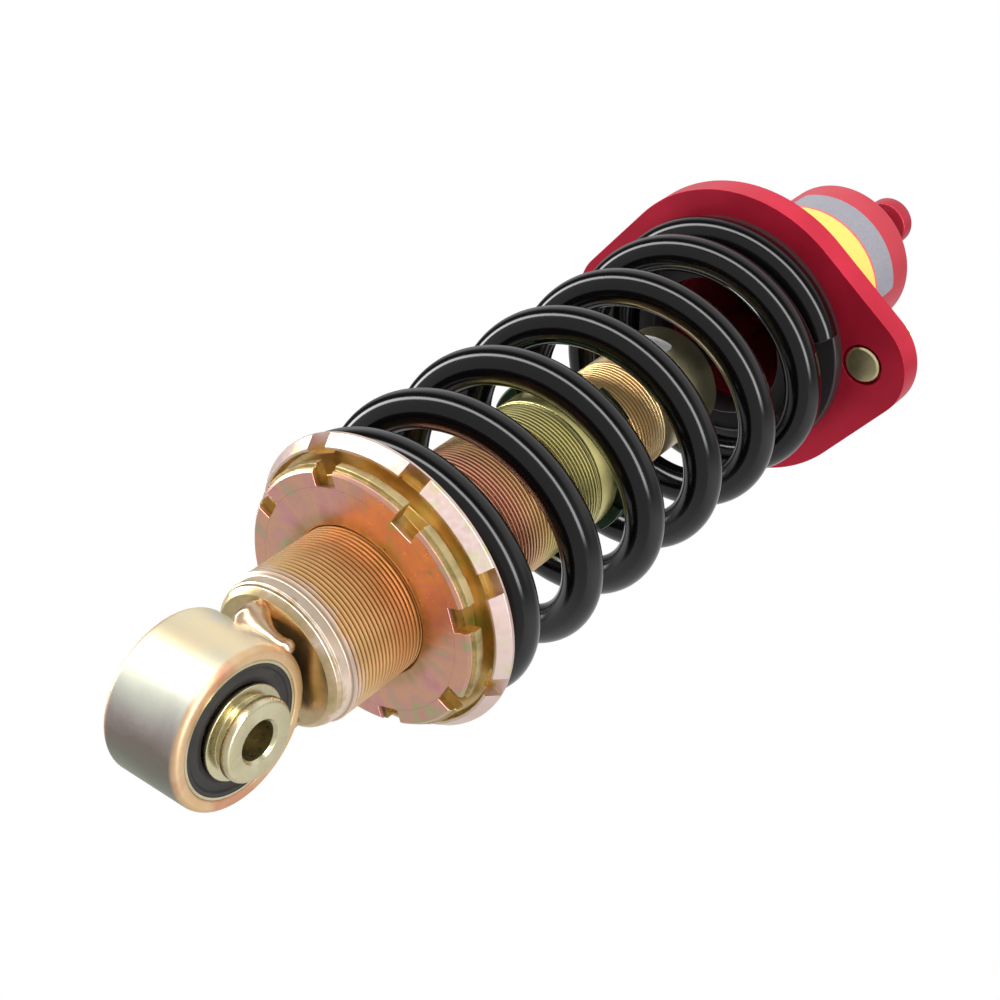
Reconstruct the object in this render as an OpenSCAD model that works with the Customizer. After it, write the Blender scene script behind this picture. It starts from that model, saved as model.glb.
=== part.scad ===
// Rear coilover damper: spring over an adjustable-length monotube, with a two-stud top mount.
// +Z runs along the damper from the lower eye to the top mount; the two studs lie along X.

/* [Lower eye] */
// Outside diameter of the lower eye
eye_d = 50.6; // [50:0.2:51.4]
// Width of the eye ring along its bolt
eye_w = 28.4; // [24:0.2:30]
// Bolt bore through the bush
bolt_bore_d = 12.2; // [8.2:0.1:14.2]
// Length of the steel bush sleeve
bush_len = 42.2; // [38:0.2:46]
// Outside diameter of the bush sleeve
bush_sleeve_d = 25.6; // [22:0.2:26]
// Outside diameter of the rubber bush
rubber_d = 40.4; // [36:0.2:41]
// Angle of the eye's bolt from the line of the studs
eye_angle = 7; // [-90:1:90]

/* [Lower sleeve] */
// Crest diameter of the coarse outer thread
sleeve_d = 50; // [49.6:0.1:50.4]
// Height of the sleeve's lower end above the eye's centre
sleeve_z0 = 26.9; // [26.4:0.1:28]
// Height of the sleeve's upper end
sleeve_z1 = 161.8; // [155:0.2:168]
// Pitch of both threads
pitch = 1.5; // [1.25:0.25:2]

/* [Spring perch] */
// Outside diameter of the perch rim
perch_d = 100; // [96:0.5:104]
// Outside diameter of the perch lock ring
lock_d = 88.5; // [84:0.5:90]
// Number of spanner notches round each ring
notches = 8; // [6:1:10]
// Height of the spring's lower seat
seat_z = 75.4; // [74:0.1:78]

/* [Coil spring] */
// Wire diameter
wire_d = 12.9; // [12:0.1:13.4]
// Outside diameter of the spring
spring_d = 97; // [95:0.5:98]
// Height of the spring's upper seat
spring_top_z = 265.7; // [260:0.1:268]

/* [Damper body] */
// Crest diameter of the fine thread on the damper tube
tube_d = 40; // [39.6:0.1:40.4]
// Height of the tube's top end
tube_z1 = 228.6; // [226:0.2:230]
// Height of the tube's bottom end
tube_z0 = 46; // [46:0.5:48]
// Inside diameter of the tube
tube_bore_d = 34; // [33:0.2:34.4]
// Piston rod diameter
rod_d = 12.5; // [12:0.1:13]
// Outside diameter of the ring that locks the tube in the sleeve
body_ring_d = 56.4; // [54:0.2:60]

/* [Top mount] */
// Height of the flange's lower face
flange_z = 270.5; // [270:0.1:273]
// Thickness of the flange
flange_t = 9.5; // [8:0.5:12]
// Distance between the two studs
stud_spacing = 107; // [104:0.5:110]
// Diameter of the studs
stud_d = 10; // [8:1:10]
// Length of the studs above the flange
stud_len = 19; // [15:1:30]
// Outside diameter of the tower
tower_d = 58.2; // [57:0.2:61]
// Height of the tower's top face
tower_z1 = 351.2; // [346:0.2:354]
// Height of the knob's crown
knob_z1 = 391.8; // [389:0.2:393]
// Diameter of the adjuster knob
knob_d = 19.4; // [17:0.2:22]

/* [Hidden] */
$fn = 96;

zinc = [0.82, 0.70, 0.48];
zinc_pink = [0.84, 0.58, 0.52];
steel = [0.72, 0.72, 0.74];
red = [0.66, 0.12, 0.18];
black = [0.10, 0.10, 0.11];
rubber = [0.14, 0.13, 0.12];
bronze = [0.62, 0.45, 0.25];

// Clearances: turning fits, and faces that only lie beside each other
fit = 0.05;
gap = 0.3;

// Threads are rows of V grooves, one to each pitch
thread_depth = 0.8;
sleeve_thread_z0 = 35.4;
sleeve_thread_z1 = 152.4;
tube_thread_z0 = 60;
tube_thread_z1 = 197;

// Sleeve
sleeve_floor_z = sleeve_z0 + 7.6;
sleeve_end_d = 42.6;
sleeve_band_d = 46.8;
sleeve_neck_d = 48;
sleeve_bore_d = tube_d + 2 * fit;

// Perch and lock ring
lock_z0 = 62.8;
lock_z1 = 68.1;
perch_rim_z = 70.2;
perch_rim_d = 94.4;
perch_floor_z = 72.9;
perch_hub_d = 74;
spring_collar_d = spring_d - 2 * wire_d - 0.9;
body_ring_t = 11;
notch_w = 8.2;

// Coil spring: the ends are closed coils ground flat, and the pitch widens between the two bends
coil_mean_r = (spring_d - wire_d) / 2;
coil_low_z = seat_z + gap / 2;
coil_high_z = spring_top_z - gap / 2;
coil_start = -0.3;
coil_end = 6.235;
coil_phase = -100.4;
coil_lower_bend = 0.2;
coil_upper_bend = 5.24;
coil_bend = 0.5;
coil_bend_z = seat_z + wire_d / 2 + 0.5;
coil_last_z = spring_top_z - 1.5;
coil_end_pitch = wire_d + 0.2;
coil_pitch = coil_end_pitch
  + (coil_last_z - coil_bend_z - coil_end_pitch * (coil_end - coil_lower_bend))
  / (coil_upper_bend - coil_lower_bend);
coil_ring = 24;
coil_sides = 16;

// Damper internals
rod_guide_z = 208;
piston_z = 168.5;
piston_t = 14;
piston_d = tube_bore_d - 2 * fit;
rod_bore_d = 6;
rod_stud_d = 10;
rod_thread_d = 11.8;
shoulder_z = piston_z + piston_t + 3.5;
float_z = 64;
float_t = 12;

// Top mount
flange_top_z = flange_z + flange_t;
flange_body_d = 111;
lobe_offset = 48.5;
lobe_d = 43.6;
tower_bore_d = 51;
tower_spigot_d = tower_d - 1;
spigot_chamfer = 0.6;
stud_pocket_d = 15.6;
stud_pocket_t = 2.4;
tower_plate_t = 6;
tower_ceiling_z = tower_z1 - tower_plate_t;
bump_len = 27;
stack_bore_d = 18;
washer_z0 = tower_ceiling_z - 10;
bushing_z0 = tower_ceiling_z - 8;
nut_z0 = tower_z1 + 7.5;
rod_top_z = 369;
seat_d = 91.6;
stud_head_d = 13.5;
stud_head_t = 2.1;

// Ring of rectangular section about Z
module ring(z0, z1, d_out, d_in) {
  rotate_extrude()
    translate([d_in / 2, z0])
      square([(d_out - d_in) / 2, z1 - z0]);
}

// Solid of revolution about Z from [radius, height] points
module lathe(points) {
  rotate_extrude()
    polygon(points);
}

// V grooves on the outside of a cylinder, from z0 up to z1, as [radius, height] points
function grooves(z0, z1, r, depth) = [
  for (i = [0 : floor((z1 - z0) / pitch) - 1])
    let (z = z0 + i * pitch)
      each [[r, z + 0.1 * pitch], [r - depth, z + 0.5 * pitch], [r, z + 0.9 * pitch]]
];

// Turns a shape made about Z so that it lies along the eye's bolt
module along_bolt() {
  rotate([0, 0, eye_angle])
    rotate([0, 90, 0])
      children();
}

// Square notches round a rim; each removes the outer depth of the rim between z0 and z1
module rim_notches(z0, z1, d, depth, phase) {
  for (i = [0 : notches - 1])
    rotate([0, 0, phase + i * 360 / notches])
      translate([d / 2 - depth, -notch_w / 2, z0])
        cube([depth + 5, notch_w, z1 - z0]);
}

// Steel eye ring with rounded rims
module lower_eye() {
  bore_r = rubber_d / 2 + 0.8;
  r = eye_d / 2;
  h = eye_w / 2;
  color(zinc)
    along_bolt()
      lathe([[bore_r + 0.6, -h], [r - 2.4, -h], [r - 0.9, -h + 0.7], [r, -h + 2.4],
        [r, h - 2.4], [r - 0.9, h - 0.7], [r - 2.4, h], [bore_r + 0.6, h],
        [bore_r, h - 0.6], [bore_r, -h + 0.6]]);
}

// Fillet beads on both sides of the eye, under the sleeve's end face
module eye_weld() {
  bead_len = 24;
  bead_d = 9.4;
  color(zinc)
    for (side = [-1, 1])
      difference() {
        along_bolt()
          translate([-24, side * 11.5, -bead_len / 2])
            cylinder(d = bead_d, h = bead_len);
        along_bolt()
          cylinder(d = eye_d, h = eye_w + 10, center = true);
        translate([0, 0, sleeve_z0 + 10])
          cube([80, 80, 20], center = true);
      }
}

// Outer shell of the rubber bush, pressed into the eye
module bush_shell() {
  color(steel)
    along_bolt()
      ring(-eye_w / 2 + 0.4, eye_w / 2 - 0.4, rubber_d + 1.6, rubber_d);
}

// Rubber bush with dished end faces
module bush_rubber() {
  r0 = bush_sleeve_d / 2 + 0.35;
  r1 = rubber_d / 2;
  h = eye_w / 2 - 0.3;
  color(rubber)
    along_bolt()
      lathe([[r0, -h + 1], [r0 + 2, -h + 0.2], [r1 - 2, -h], [r1, -h + 1.2],
        [r1, h - 1.2], [r1 - 2, h], [r0 + 2, h - 0.2], [r0, h - 1]]);
}

// Steel sleeve that clamps to the bolt, with a lip outside the rubber on each side
module bush_sleeve() {
  r = bush_sleeve_d / 2;
  b = bolt_bore_d / 2;
  half = bush_len / 2;
  lip = eye_w / 2;
  color(steel)
    along_bolt()
      lathe([[b, -half + 0.9], [b + 0.9, -half], [r - 1.4, -half], [r, -half + 1.2],
        [r, -lip - 4], [r - 1.3, -lip - 3.4], [r - 1.3, -lip - 1.3], [r + 1.8, -lip - 1.1],
        [r + 1.8, -lip - 0.1], [r, -lip], [r, lip], [r + 1.8, lip + 0.1],
        [r + 1.8, lip + 1.1], [r - 1.3, lip + 1.3], [r - 1.3, lip + 3.4], [r, lip + 4],
        [r, half - 1.2], [r - 1.4, half], [b + 0.9, half], [b, half - 0.9]]);
}

// Threaded sleeve that carries the perch outside and the damper tube inside
module lower_sleeve() {
  r = sleeve_d / 2;
  bore = sleeve_bore_d / 2;
  z0 = sleeve_z0;
  color(zinc)
    lathe(concat([[0, z0], [sleeve_end_d / 2, z0], [sleeve_band_d / 2, z0 + 1.9],
      [sleeve_band_d / 2, z0 + 3], [sleeve_neck_d / 2, z0 + 3.4],
      [sleeve_neck_d / 2, sleeve_thread_z0 - 1], [r, sleeve_thread_z0]],
      grooves(sleeve_thread_z0, sleeve_thread_z1, r, thread_depth),
      [[r, sleeve_z1 - 0.8], [r - 0.8, sleeve_z1], [bore + 0.8, sleeve_z1],
      [bore, sleeve_z1 - 0.8], [bore, sleeve_floor_z], [0, sleeve_floor_z]]));
}

// Notched ring that is tightened against the perch from below
module perch_lock_ring() {
  r = lock_d / 2;
  bore = sleeve_d / 2 + fit;
  color(zinc_pink)
    difference() {
      lathe([[bore + 0.9, lock_z0], [r - 1.7, lock_z0], [r - 1, lock_z0 + 0.9],
        [r - 0.9, lock_z0 + 1.8], [r, lock_z0 + 2.4], [r, lock_z1 - 0.5], [r - 0.5, lock_z1],
        [bore + 0.9, lock_z1], [bore, lock_z1 - 0.9], [bore, lock_z0 + 0.9]]);
      rim_notches(lock_z0 - 1, lock_z1 + 1, lock_d, 6.5, -10);
    }
}

// Notched perch with a bevelled rim, a recessed underside and a collar inside the spring
module spring_perch() {
  r = perch_d / 2;
  bore = sleeve_d / 2 + fit;
  color(zinc_pink)
    difference() {
      lathe([[bore + 0.9, lock_z1 + gap], [perch_hub_d / 2 - 1, lock_z1 + gap],
        [perch_hub_d / 2, lock_z1 + gap + 1], [perch_hub_d / 2, perch_floor_z - 0.6],
        [perch_hub_d / 2 + 0.6, perch_floor_z], [perch_rim_d / 2 - 1.7, perch_floor_z],
        [perch_rim_d / 2 - 1, perch_rim_z + 0.3], [perch_rim_d / 2, perch_rim_z],
        [r - 0.4, seat_z - 1.6], [r, seat_z - 1.1], [r, seat_z - 0.4], [r - 0.4, seat_z],
        [spring_collar_d / 2, seat_z], [spring_collar_d / 2 - 0.3, seat_z + 5],
        [spring_collar_d / 2 - 1.3, seat_z + 6], [bore + 0.9, seat_z + 6],
        [bore, seat_z + 5.1], [bore, lock_z1 + gap + 0.9]]);
      rim_notches(perch_rim_z - 2, seat_z - 0.9, perch_d, 6, -20);
    }
}

// Height of the wire's centre after n turns: closed end coils, open coils between them
function eased(x) = x <= 0 ? 0 : x >= 1 ? x - 0.5 : x * x / 2;
function turns_risen(n) =
  2 * coil_bend * (eased((n - coil_lower_bend + coil_bend) / (2 * coil_bend))
  - eased((n - coil_upper_bend + coil_bend) / (2 * coil_bend)));
function wire_z(n) = coil_bend_z + coil_end_pitch * (n - coil_lower_bend)
  + (coil_pitch - coil_end_pitch) * turns_risen(n);

// One ring of points round the wire after n turns, cut off at the two ground faces
function wire_ring(n) = [
  for (k = [0 : coil_sides - 1])
    let (a = coil_phase + 360 * n, b = 360 * k / coil_sides)
      let (r = coil_mean_r + wire_d / 2 * cos(b), z = wire_z(n) + wire_d / 2 * sin(b))
        [r * cos(a), r * sin(a), max(coil_low_z, min(coil_high_z, z))]
];

// Right-hand coil of round wire, swept as rings of points
module coil_spring() {
  steps = round((coil_end - coil_start) * coil_ring);
  s = coil_sides;
  points = [for (i = [0 : steps]) each wire_ring(coil_start + i / coil_ring)];
  sides = [for (i = [0 : steps - 1], k = [0 : s - 1])
    [i * s + k, i * s + (k + 1) % s, (i + 1) * s + (k + 1) % s, (i + 1) * s + k]];
  start_cap = [for (k = [0 : s - 1]) s - 1 - k];
  end_cap = [for (k = [0 : s - 1]) steps * s + k];
  color(black)
    polyhedron(points = points, faces = concat([start_cap], sides, [end_cap]), convexity = 10);
}

// Notched ring that locks the damper tube against the top of the sleeve
module body_lock_ring() {
  r = body_ring_d / 2;
  bore = tube_d / 2 + fit;
  z0 = sleeve_z1 + gap;
  z1 = z0 + body_ring_t;
  color(zinc)
    difference() {
      lathe([[bore + 0.7, z0], [r - 0.8, z0], [r, z0 + 0.8], [r, z1 - 0.8], [r - 0.8, z1],
        [bore + 0.7, z1], [bore, z1 - 0.7], [bore, z0 + 0.7]]);
      rim_notches(z0 - 1, z1 + 1, body_ring_d, 4.5, -72);
    }
}

// Monotube body, finely threaded over its lower part and plain above
module damper_tube() {
  r = tube_d / 2;
  bore = tube_bore_d / 2;
  color(zinc)
    lathe(concat([[bore, tube_z0], [r - 1.2, tube_z0], [r - 0.8, tube_thread_z0 - 1]],
      grooves(tube_thread_z0, tube_thread_z1, r, thread_depth),
      [[r, tube_z1 - 0.5], [r - 0.5, tube_z1], [bore, tube_z1]]));
}

// Disc welded into the bottom of the tube
module tube_base_cap() {
  color(steel)
    lathe([[0, tube_z0 + 0.4], [tube_bore_d / 2, tube_z0 + 0.4],
      [tube_bore_d / 2, tube_z0 + 6], [0, tube_z0 + 6]]);
}

// Piston that keeps the gas below apart from the oil above
module floating_piston() {
  r = piston_d / 2;
  groove = float_z + float_t / 2;
  color(steel)
    lathe([[0, float_z + 3], [r - 4, float_z + 3], [r - 4, float_z], [r, float_z],
      [r, groove - 1.6], [r - 2.4, groove - 1.6], [r - 2.4, groove + 1.6], [r, groove + 1.6],
      [r, float_z + float_t], [0, float_z + float_t]]);
}

// Seal ring in the floating piston's groove
module floating_piston_ring() {
  groove = float_z + float_t / 2;
  color(rubber)
    ring(groove - 1.5, groove + 1.5, piston_d, piston_d - 4.7);
}

// Guide that closes the top of the tube round the rod
module rod_guide() {
  r = tube_bore_d / 2;
  groove_z = rod_guide_z + 5;
  color(steel)
    lathe([[rod_d / 2 + 1.5, rod_guide_z], [r - 1, rod_guide_z], [r, rod_guide_z + 1],
      [r, groove_z - 1.4], [r - 2, groove_z - 1.4], [r - 2, groove_z + 1.4],
      [r, groove_z + 1.4], [r, rod_guide_z + 13.8], [rod_d / 2 + 5, rod_guide_z + 13.8],
      [rod_d / 2 + 5, rod_guide_z + 9], [rod_d / 2 + 1.5, rod_guide_z + 9]]);
}

// Plain bearing that the rod slides in
module guide_bush() {
  color(bronze)
    ring(rod_guide_z + 0.5, rod_guide_z + 8.8, rod_d + 3, rod_d + 2 * fit);
}

// Static seal round the rod guide
module guide_oring() {
  r = tube_bore_d / 2;
  groove_z = rod_guide_z + 5;
  color(rubber)
    ring(groove_z - 1.3, groove_z + 1.3, 2 * r, 2 * r - 3.9);
}

// Lip seal on the rod, above the bearing
module rod_seal() {
  z = rod_guide_z + 9;
  r = rod_d / 2;
  color(rubber)
    lathe([[r + fit, z + 1.2], [r + 2, z], [r + 5, z], [r + 5, z + 4.4], [r + 1.6, z + 4.4],
      [r + fit, z + 2]]);
}

// Threaded ring that holds the guide in the tube
module gland_nut() {
  z0 = rod_guide_z + 13.8;
  z1 = tube_z1 - 1.6;
  color(steel)
    difference() {
      ring(z0, z1, tube_bore_d, rod_d + 9.6);
      for (i = [0 : 3])
        rotate([0, 0, 45 + 90 * i])
          translate([13.6, 0, z1 - 2.5])
            cylinder(d = 2.6, h = 5);
    }
}

// Wiper that keeps dirt off the rod
module wiper_seal() {
  z0 = rod_guide_z + 13.9;
  z1 = tube_z1 + 0.8;
  r = rod_d / 2;
  color(rubber)
    lathe([[r + 2, z0], [r + 4.8, z0], [r + 4.8, z1 - 2.4], [r + 1.1, z1], [r + fit, z1 - 0.6],
      [r + 2, z1 - 3.4]]);
}

// Hollow rod with a stud at its lower end for the piston and a thread at its top
module piston_rod() {
  z0 = piston_z - 13.5;
  color(steel)
    lathe([[rod_bore_d / 2, z0], [rod_stud_d / 2 - 0.8, z0], [rod_stud_d / 2, z0 + 0.8],
      [rod_stud_d / 2, shoulder_z], [rod_d / 2, shoulder_z],
      [rod_d / 2, washer_z0], [rod_thread_d / 2, washer_z0],
      [rod_thread_d / 2, rod_top_z - 1], [rod_thread_d / 2 - 1, rod_top_z],
      [rod_bore_d / 2, rod_top_z]]);
}

// Backing washer under the rod's shoulder, which stops the piston short of the guide
module stop_washer() {
  color(steel)
    ring(shoulder_z - 2, shoulder_z, 22, rod_stud_d);
}

// Stack of spring discs of falling diameter; side is 1 above the piston and -1 below
module shim_stack(z, side) {
  for (i = [0 : 4])
    translate([0, 0, z + side * (0.15 + 0.3 * i)])
      ring(-0.15, 0.15, 28 - 2.4 * i, rod_stud_d);
}

module compression_shims() {
  color(steel)
    shim_stack(piston_z + piston_t, 1);
}

module rebound_shims() {
  color(steel)
    shim_stack(piston_z, -1);
}

// Ported piston with a groove for its band
module piston() {
  r = piston_d / 2;
  z0 = piston_z;
  z1 = piston_z + piston_t;
  color(steel)
    difference() {
      lathe([[rod_stud_d / 2, z0], [r - 1, z0], [r - 1, z0 + 2.5], [r - 2, z0 + 2.5],
        [r - 2, z1 - 2.5], [r - 1, z1 - 2.5], [r - 1, z1], [rod_stud_d / 2, z1]]);
      for (i = [0 : 7])
        rotate([0, 0, 45 * i])
          translate([10, 0, z0 - 1])
            cylinder(d = 4, h = piston_t + 2);
    }
}

// Low-friction band that runs on the tube's bore
module piston_band() {
  color(bronze)
    ring(piston_z + 2.6, piston_z + piston_t - 2.6, piston_d, piston_d - 4);
}

// Nut that clamps the piston and its shims
module piston_nut() {
  z0 = piston_z - 11;
  z1 = piston_z - 1.6;
  color(steel)
    difference() {
      translate([0, 0, z0])
        cylinder(d = 19.6, h = z1 - z0, $fn = 6);
      translate([0, 0, z0 - 1])
        cylinder(d = rod_stud_d, h = z1 - z0 + 2);
    }
}

// Foam bump stop on the rod, waisted between its beads
module bump_stop() {
  z1 = washer_z0;
  z0 = z1 - bump_len;
  b = rod_d / 2;
  color(rubber)
    lathe([[b, z0], [b + 5, z0], [b + 8, z0 + 2], [b + 8.6, z0 + 5], [b + 8, z0 + 8],
      [b + 5.6, z0 + 10.5], [b + 8.4, z0 + 13.5], [b + 9.4, z0 + 17], [b + 9.4, z1 - 0.6],
      [b + 8.8, z1], [b, z1]]);
}

// Spring seat below the flange, with a collar inside the spring
module upper_spring_seat() {
  r = seat_d / 2;
  bore = tower_bore_d / 2 + 1;
  collar = spring_collar_d / 2;
  z = spring_top_z;
  color(black)
    lathe([[bore, z - 8], [collar - 2, z - 8], [collar, z - 6.4], [collar, z - 0.4],
      [collar + 0.4, z], [r - 1, z], [r - 0.2, z + 0.8], [r, flange_z - 0.5],
      [r - 0.5, flange_z], [bore, flange_z]]);
}

// Outline of the flange: a round body with a lobe at each stud
module flange_outline() {
  hull() {
    circle(d = flange_body_d, $fn = 120);
    for (side = [-1, 1])
      translate([side * lobe_offset, 0])
        circle(d = lobe_d, $fn = 64);
  }
}

// Flange bolted under the body; the studs are pressed through it from below
module mount_flange() {
  color(red)
    difference() {
      translate([0, 0, flange_z])
        linear_extrude(flange_t)
          flange_outline();
      translate([0, 0, flange_z - 1])
        cylinder(d = tower_bore_d, h = flange_t + 2);
      translate([0, 0, flange_z + 3])
        cylinder(d = tower_spigot_d, h = flange_t);
      translate([0, 0, flange_top_z - spigot_chamfer])
        cylinder(d1 = tower_spigot_d, d2 = tower_spigot_d + 4 * spigot_chamfer,
          h = 2 * spigot_chamfer);
      for (side = [-1, 1]) {
        translate([side * stud_spacing / 2, 0, flange_z - 1])
          cylinder(d = stud_d + 0.6, h = flange_t + 2);
        translate([side * stud_spacing / 2, 0, flange_z - 1])
          cylinder(d = stud_pocket_d, h = stud_pocket_t + 1);
      }
    }
}

// Two pressed studs, heads sunk in the flange's lower face
module mount_studs() {
  r = stud_d / 2;
  head = stud_head_d / 2;
  knurl = r + 0.3;
  z0 = flange_z + stud_pocket_t;
  z1 = flange_top_z + stud_len;
  color(zinc)
    for (side = [-1, 1])
      translate([side * stud_spacing / 2, 0, 0])
        lathe([[0, z0 - stud_head_t - 0.6], [head - 0.9, z0 - stud_head_t - 0.6],
          [head, z0 - stud_head_t], [head, z0], [knurl, z0], [knurl, flange_top_z],
          [r, flange_top_z], [r, z1 - 1], [r - 1, z1], [0, z1]]);
}

// Cup that passes through the body and holds the rod's bushings
module mount_tower() {
  r = tower_d / 2;
  bore = tower_bore_d / 2;
  color(red)
    lathe([[bore, flange_z + 3], [tower_spigot_d / 2, flange_z + 3],
      [tower_spigot_d / 2, flange_top_z], [r, flange_top_z], [r, tower_z1 - 1.5],
      [r - 1.5, tower_z1],
      [stack_bore_d / 2, tower_z1], [stack_bore_d / 2, tower_ceiling_z],
      [bore - 3, tower_ceiling_z], [bore, tower_ceiling_z - 3]]);
}

// Rubber bushing below the tower's top plate, with a spigot in its hole
module lower_bushing() {
  b = rod_thread_d / 2 + 0.6;
  z = tower_ceiling_z;
  color(rubber)
    lathe([[b, bushing_z0], [14, bushing_z0], [15.5, bushing_z0 + 2], [15.5, z],
      [stack_bore_d / 2, z], [stack_bore_d / 2, z + 2.9], [b, z + 2.9]]);
}

// Cupped washer between the bump stop and the lower bushing
module lower_washer() {
  b = rod_thread_d / 2 + 0.1;
  color(steel)
    lathe([[b, washer_z0], [16, washer_z0], [18, bushing_z0 + 0.5], [16.6, bushing_z0 + 1],
      [15, bushing_z0], [b, bushing_z0]]);
}

// Rubber bushing above the tower's top plate
module upper_bushing() {
  b = rod_thread_d / 2 + 0.6;
  z = tower_z1;
  color(rubber)
    lathe([[b, tower_ceiling_z + 3.1], [stack_bore_d / 2, tower_ceiling_z + 3.1],
      [stack_bore_d / 2, z], [15, z], [15, z + 4], [13.5, z + 5.5], [b, z + 5.5]]);
}

// Washer under the rod nut
module upper_washer() {
  color(steel)
    ring(nut_z0 - 2, nut_z0, 24, rod_thread_d + 0.2);
}

// Hexagon nut that holds the rod to the mount
module rod_nut() {
  color(steel)
    difference() {
      translate([0, 0, nut_z0])
        cylinder(d = 20.8, h = 8, $fn = 6);
      translate([0, 0, nut_z0 - 1])
        cylinder(d = rod_thread_d, h = 10);
    }
}

// Needle that the knob turns inside the hollow rod
module adjuster_rod() {
  z0 = piston_z - 8;
  r = rod_bore_d / 2 - fit;
  color(steel)
    lathe([[0, z0], [r - 1.6, z0 + 5], [r, z0 + 8], [r, rod_top_z + 6], [0, rod_top_z + 6]]);
}

// Damping adjuster: a slim neck under a round head
module adjuster_knob() {
  r = knob_d / 2;
  z0 = rod_top_z + 0.4;
  head = knob_z1 - 7.8;
  color(red)
    difference() {
      lathe([[rod_bore_d / 2 - fit, z0], [4.3, z0], [4.3, head - 1.4], [5.2, head],
        [r - 1, head], [r, head + 1], [r, knob_z1 - 1.6], [r - 1.6, knob_z1 - 0.4],
        [r - 4, knob_z1], [0, knob_z1], [0, rod_top_z + 6.2],
        [rod_bore_d / 2 - fit, rod_top_z + 6.2]]);
      translate([0, 0, z0 + 3])
        rotate([0, 90, 0])
          cylinder(d = 2.6, h = 10);
    }
}

// Grub screw that fixes the knob to its needle
module knob_grub_screw() {
  color(steel)
    translate([rod_bore_d / 2 - fit, 0, rod_top_z + 3.4])
      rotate([0, 90, 0])
        cylinder(d = 2.6, h = 1.2);
}

lower_eye();
eye_weld();
lower_sleeve();
bush_shell();
bush_rubber();
bush_sleeve();
perch_lock_ring();
spring_perch();
coil_spring();
body_lock_ring();
damper_tube();
tube_base_cap();
floating_piston();
floating_piston_ring();
rod_guide();
guide_bush();
guide_oring();
rod_seal();
gland_nut();
wiper_seal();
piston_rod();
stop_washer();
compression_shims();
piston();
piston_band();
rebound_shims();
piston_nut();
bump_stop();
upper_spring_seat();
mount_flange();
mount_studs();
mount_tower();
lower_bushing();
lower_washer();
upper_bushing();
upper_washer();
rod_nut();
adjuster_rod();
adjuster_knob();
knob_grub_screw();
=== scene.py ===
"""Looks for a coilover damper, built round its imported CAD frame."""
import math

import bmesh
import bpy
from mathutils import Matrix, Vector, noise


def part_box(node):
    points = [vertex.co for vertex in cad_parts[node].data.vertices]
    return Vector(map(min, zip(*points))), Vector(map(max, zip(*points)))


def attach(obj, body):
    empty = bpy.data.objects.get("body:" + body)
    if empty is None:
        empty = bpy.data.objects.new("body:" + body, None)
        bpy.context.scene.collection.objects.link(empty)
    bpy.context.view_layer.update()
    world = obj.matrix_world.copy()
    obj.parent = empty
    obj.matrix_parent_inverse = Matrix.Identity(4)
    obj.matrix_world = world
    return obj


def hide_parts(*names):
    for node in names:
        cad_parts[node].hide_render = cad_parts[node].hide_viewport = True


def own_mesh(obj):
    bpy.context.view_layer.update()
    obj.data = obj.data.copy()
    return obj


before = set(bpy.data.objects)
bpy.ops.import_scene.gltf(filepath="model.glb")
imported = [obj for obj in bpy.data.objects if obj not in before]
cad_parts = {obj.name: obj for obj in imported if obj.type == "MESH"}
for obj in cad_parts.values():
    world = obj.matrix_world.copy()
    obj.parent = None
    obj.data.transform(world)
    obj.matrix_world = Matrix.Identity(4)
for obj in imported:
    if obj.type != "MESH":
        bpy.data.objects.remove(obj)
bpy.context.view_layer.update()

# ---------------------------------------------------------------- measures
# Lengths are millimetres, and heights run along the damper from the centre of the eye.

MM = 0.001


def low_high(node):
    """Lowest and highest point of a CAD node along the damper."""
    low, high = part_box(node)
    return low.z / MM, high.z / MM


def radius(node):
    """Outer radius of a CAD node that is round about the damper's axis."""
    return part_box(node)[1].x / MM


BOLT_LEAN = 7
LEAN = Matrix.Rotation(math.radians(BOLT_LEAN), 4, "Z")
EYE_TURN = LEAN @ Matrix.Rotation(math.radians(90), 4, "Y")
EYE_R, EYE_HALF = 25.3, 14.2
RUBBER_R = 20.2
BUSH_R, BUSH_HALF = 12.8, 21.1
BOLT_R = 6.1

PITCH = 1.5
SLEEVE_LOW, SLEEVE_HIGH = low_high("lower_sleeve")
SLEEVE_R = radius("lower_sleeve")
SLEEVE_THREAD = SLEEVE_LOW + 7.6, SLEEVE_HIGH - 8.4
TUBE_LOW, TUBE_HIGH = low_high("damper_tube")
TUBE_R = radius("damper_tube")
TUBE_THREAD = TUBE_LOW + 14, TUBE_LOW + 151
# Bores with a running clearance over the sleeve and over the tube.
ON_SLEEVE, ON_TUBE = 25.05, 20.05

LOCK_LOW, LOCK_HIGH = low_high("perch_lock_ring")
LOCK_R = 44.25
LOCK_NOTCH = 6.5
PERCH_LOW, PERCH_HIGH = low_high("spring_perch")
PERCH_R = 50.0
PERCH_SEAT = PERCH_HIGH - 6

COIL_LOW, COIL_HIGH = low_high("coil_spring")
WIRE_R, COIL_R = 6.45, 42.05

FLANGE_LOW, FLANGE_HIGH = low_high("mount_flange")
FLANGE_R, LOBE_R, LOBE_AT = 55.5, 21.8, 48.5
STUD_AT, STUD_R, SHANK_R, HEAD_R = 53.5, 5.0, 5.3, 6.75
COUNTERBORE_R, COUNTERBORE = 7.8, 2.4
TOWER_LOW, TOWER_HIGH = low_high("mount_tower")
TOWER_R, TOWER_BORE, TOWER_NECK = 29.1, 25.5, 28.6

# ---------------------------------------------------------------- meshes

MERGE = 1e-4
COPLANAR = 0.5
FLAT_NORMAL = 0.9999


def merge_points(bm):
    """Merges points that coincide and drops the faces that this closes."""
    bmesh.ops.remove_doubles(bm, verts=bm.verts, dist=MERGE)
    bmesh.ops.dissolve_degenerate(bm, edges=bm.edges, dist=MERGE)


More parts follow.
